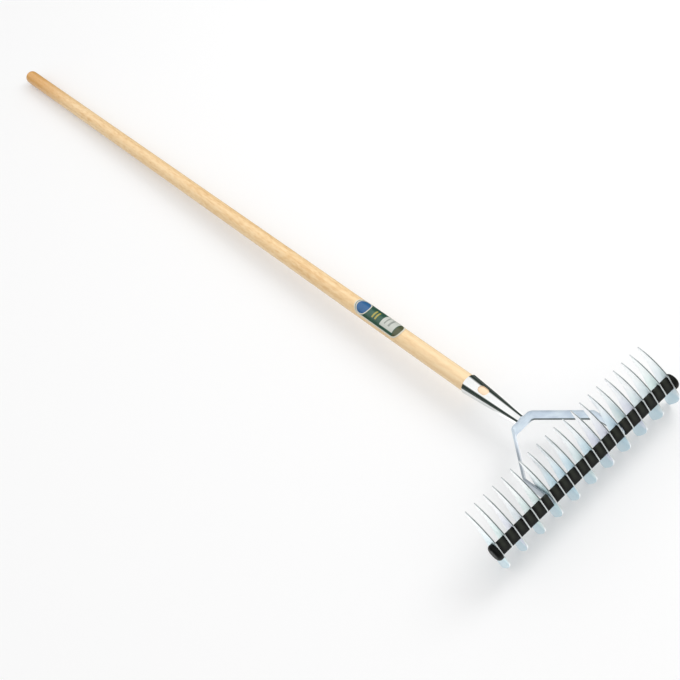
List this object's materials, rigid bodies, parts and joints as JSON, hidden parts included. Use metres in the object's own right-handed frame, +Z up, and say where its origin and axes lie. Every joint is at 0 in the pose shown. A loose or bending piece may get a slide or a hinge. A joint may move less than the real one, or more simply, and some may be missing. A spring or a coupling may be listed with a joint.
{
  "type": "dethatching rake",
  "caption": "Lawn rake with a long round wooden handle, a tapered socket, a bent strap yoke and a row of crescent blades that have pointed tines and rounded tails, clamped on one bar.",
  "frame": {"origin": "on the ground, under the middle of the rake's box, with the rake lying on its tails and handle end, tines up", "axes": "+X along the row of blades, +Y along the handle away from the blades, +Z up, the way the tines point"},
  "size_m": [0.3536, 1.728, 0.0969],
  "materials": {
    "wood": "clear lacquered light hardwood",
    "label": "satin printed label, bare of text",
    "chrome": "polished plating",
    "zinc": "bright zinc plating",
    "blade_steel": "bright plated sheet",
    "black_plastic": "satin moulded",
    "plain_steel": "plain"
  },
  "bodies": {
    "root": {"handle": "wood", "handle_label": "label", "ferrule": "chrome", "ferrule_nail": "plain_steel", "ferrule_weld": "zinc", "yoke": "zinc", "core_rod": "plain_steel", "blade_01": "blade_steel", "blade_02": "blade_steel", "blade_03": "blade_steel", "blade_04": "blade_steel", "blade_05": "blade_steel", "blade_06": "blade_steel", "blade_07": "blade_steel", "blade_08": "blade_steel", "blade_09": "blade_steel", "blade_10": "blade_steel", "blade_11": "blade_steel", "blade_12": "blade_steel", "blade_13": "blade_steel", "blade_14": "blade_steel", "blade_15": "blade_steel", "blade_16": "blade_steel", "blade_17": "blade_steel", "blade_18": "blade_steel", "blade_19": "blade_steel", "blade_20": "blade_steel", "blade_21": "blade_steel", "spacer_01": "black_plastic", "spacer_02": "black_plastic", "spacer_03": "black_plastic", "spacer_04": "black_plastic", "spacer_05": "black_plastic", "spacer_06": "black_plastic", "spacer_07": "black_plastic", "spacer_08": "black_plastic", "spacer_09": "black_plastic", "spacer_10": "black_plastic", "spacer_11": "black_plastic", "spacer_12": "black_plastic", "spacer_13": "black_plastic", "spacer_14": "black_plastic", "spacer_15": "black_plastic", "spacer_16": "black_plastic", "spacer_17": "black_plastic", "spacer_18": "black_plastic", "spacer_19": "black_plastic", "spacer_20": "black_plastic", "left_washer": "plain_steel", "left_nut": "plain_steel", "left_end_cap": "black_plastic", "right_washer": "plain_steel", "right_nut": "plain_steel", "right_end_cap": "black_plastic"}
  },
  "joints": []
}
